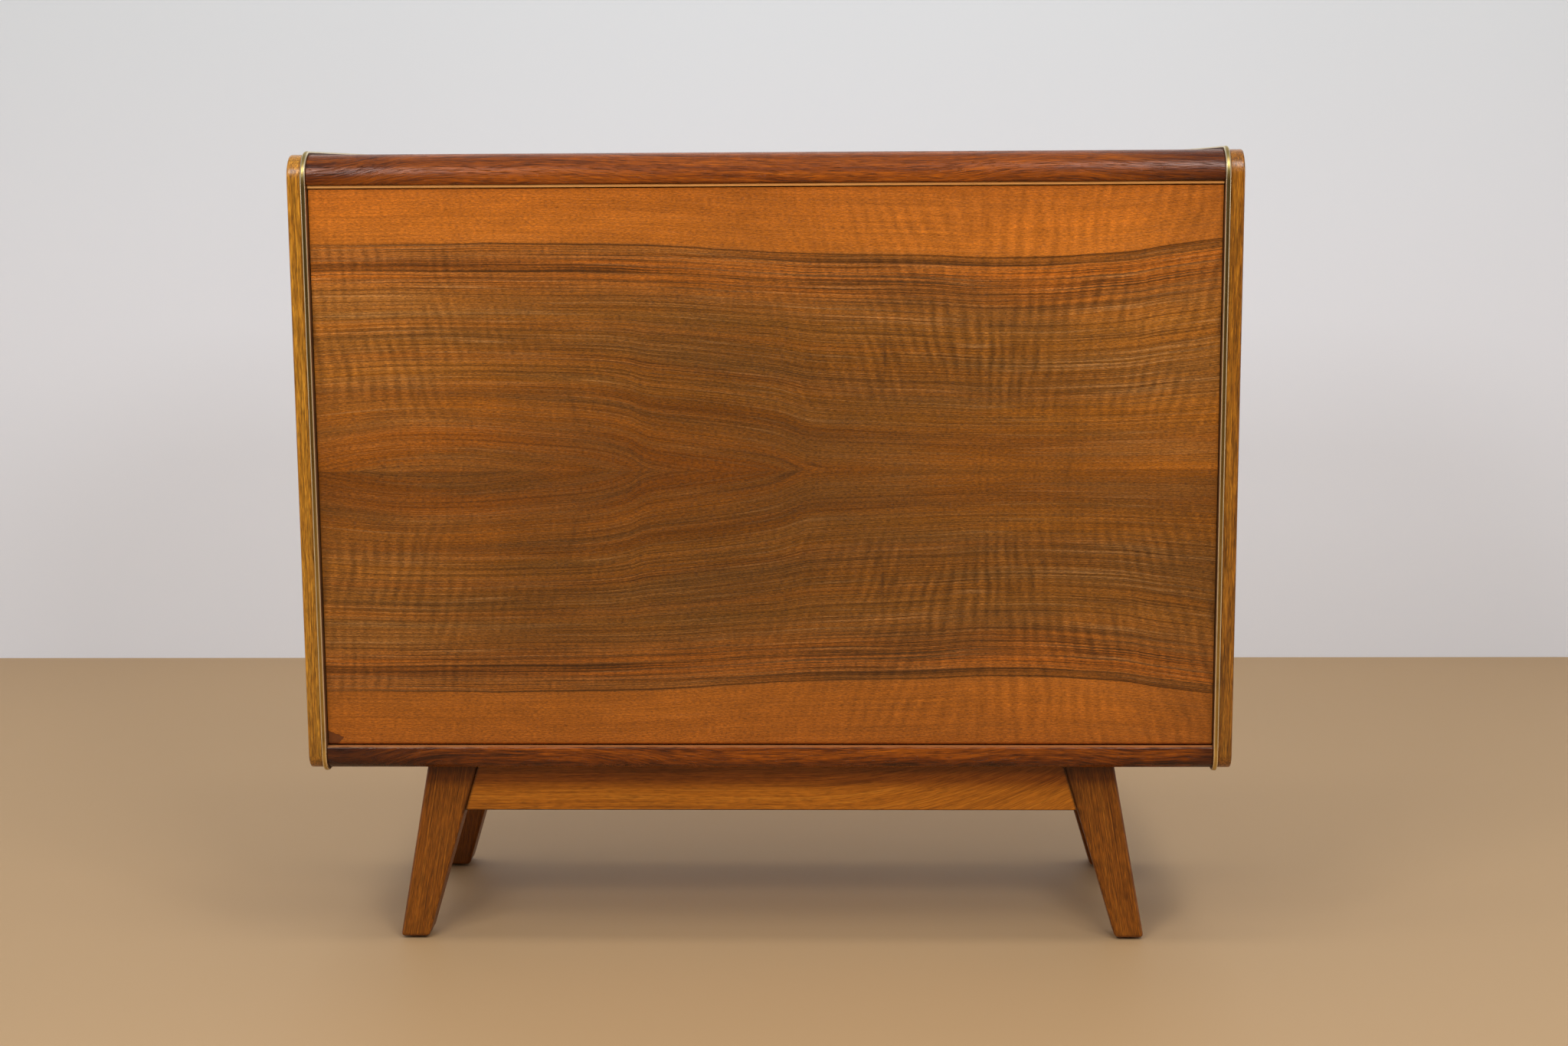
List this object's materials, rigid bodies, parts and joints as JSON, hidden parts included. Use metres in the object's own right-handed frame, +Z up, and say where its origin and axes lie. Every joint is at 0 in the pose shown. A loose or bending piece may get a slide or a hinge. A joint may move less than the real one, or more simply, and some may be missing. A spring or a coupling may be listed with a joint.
{
  "type": "bar cabinet",
  "caption": "Low bar cabinet with a leaning fall-front flap, rounded rails, brass beads, a mirrored and shelved interior and a splayed leg frame.",
  "frame": {"origin": "on the floor, under the middle of the cabinet's bounding box", "axes": "+Z up; the flap's face is towards -Y, so the back is towards +Y; +X is on the right of someone who faces the flap"},
  "size_m": [0.95, 0.4408, 0.8279],
  "materials": {
    "walnut_veneer": "clear satin lacquer over book-matched veneer, grain level",
    "rosewood": "clear satin lacquer, grain level",
    "oak_side": "clear satin lacquer, grain upright",
    "pale_wood": "clear matt lacquer",
    "plain_wood": "bare, sanded",
    "leg_wood": "clear satin lacquer, grain along the leg",
    "apron_wood": "clear satin lacquer, grain level",
    "flap_laminate": "wipeable satin laminate",
    "brass": "aged satin",
    "steel": "bright zinc",
    "black_plastic": "matt",
    "mirror": "silvered, edges ground",
    "glass": "clear, edges ground"
  },
  "bodies": {
    "cabinet": {"side_panel_left": "oak_side", "side_panel_right": "oak_side", "side_bead_left": "brass", "side_bead_right": "brass", "pivot_pin_left": "brass", "pivot_pin_right": "brass", "stay_stud_left": "brass", "stay_stud_right": "brass", "top_board": "walnut_veneer", "top_nosing": "rosewood", "bottom_nosing": "rosewood", "top_lipping": "pale_wood", "inner_side_left": "pale_wood", "inner_side_right": "pale_wood", "partition": "pale_wood", "wood_shelf": "pale_wood", "bottom_board": "plain_wood", "back_panel": "plain_wood", "frame_screw_front_left": "steel", "frame_screw_front_right": "steel", "frame_screw_rear_left": "steel", "frame_screw_rear_right": "steel", "latch_housing_left": "black_plastic", "latch_housing_right": "black_plastic", "glide_front_left": "black_plastic", "glide_front_right": "black_plastic", "glide_rear_left": "black_plastic", "glide_rear_right": "black_plastic", "mirror_panel": "mirror", "glass_shelf": "glass", "glass_shelf_peg_front_left": "brass", "glass_shelf_peg_front_right": "brass", "glass_shelf_peg_rear_left": "brass", "glass_shelf_peg_rear_right": "brass", "wood_shelf_peg_front_left": "brass", "wood_shelf_peg_front_right": "brass", "wood_shelf_peg_rear_left": "brass", "wood_shelf_peg_rear_right": "brass", "leg_front_left": "leg_wood", "leg_front_right": "leg_wood", "leg_rear_left": "leg_wood", "leg_rear_right": "leg_wood", "front_apron": "apron_wood", "rear_apron": "apron_wood", "side_apron_left": "apron_wood", "side_apron_right": "apron_wood"},
    "flap": {"flap_panel": "walnut_veneer", "flap_lining": "flap_laminate", "pivot_bush_left": "brass", "pivot_bush_right": "brass", "stay_bracket_left": "brass", "stay_bracket_right": "brass", "latch_strike_left": "steel", "latch_strike_right": "steel"},
    "stay_arm_body_left": {"stay_arm_left": "brass"},
    "stay_arm_body_right": {"stay_arm_right": "brass"},
    "stay_guide_body_left": {"stay_guide_left": "brass"},
    "stay_guide_body_right": {"stay_guide_right": "brass"},
    "latch_plunger_body_left": {"latch_plunger_left": "steel"},
    "latch_plunger_body_right": {"latch_plunger_right": "steel"}
  },
  "joints": [
    {"name": "flap_hinge", "type": "hinge", "parent": "cabinet", "child": "flap", "pos_m": [0, -0.18183, 0.22456], "axis": [1, 0, 0], "range_deg": [0, 87.6]},
    {"name": "stay_arm_left_swing", "type": "hinge", "parent": "flap", "child": "stay_arm_body_left", "pos_m": [0, -0.16622, 0.42539], "axis": [1, 0, 0], "range_deg": [-43.8, 0]},
    {"name": "stay_guide_left_swing", "type": "hinge", "parent": "cabinet", "child": "stay_guide_body_left", "pos_m": [0, -0.13903, 0.4214], "axis": [1, 0, 0], "range_deg": [0, 43.8]},
    {"name": "latch_left_press", "type": "slide", "parent": "cabinet", "child": "latch_plunger_body_left", "axis": [0, 0.9991, 0.0419], "range_m": [0, 0.003], "stiffness_N_per_m": 500},
    {"name": "stay_arm_right_swing", "type": "hinge", "parent": "flap", "child": "stay_arm_body_right", "pos_m": [0, -0.16622, 0.42539], "axis": [1, 0, 0], "range_deg": [-43.8, 0]},
    {"name": "stay_guide_right_swing", "type": "hinge", "parent": "cabinet", "child": "stay_guide_body_right", "pos_m": [0, -0.13903, 0.4214], "axis": [1, 0, 0], "range_deg": [0, 43.8]},
    {"name": "latch_right_press", "type": "slide", "parent": "cabinet", "child": "latch_plunger_body_right", "axis": [0, 0.9991, 0.0419], "range_m": [0, 0.003], "stiffness_N_per_m": 500}
  ],
  "couplings": [
    {"joint": "stay_arm_left_swing", "follows": "flap_hinge", "ratio": -0.5},
    {"joint": "stay_guide_left_swing", "follows": "flap_hinge", "ratio": 0.5},
    {"joint": "stay_arm_right_swing", "follows": "flap_hinge", "ratio": -0.5},
    {"joint": "stay_guide_right_swing", "follows": "flap_hinge", "ratio": 0.5}
  ]
}
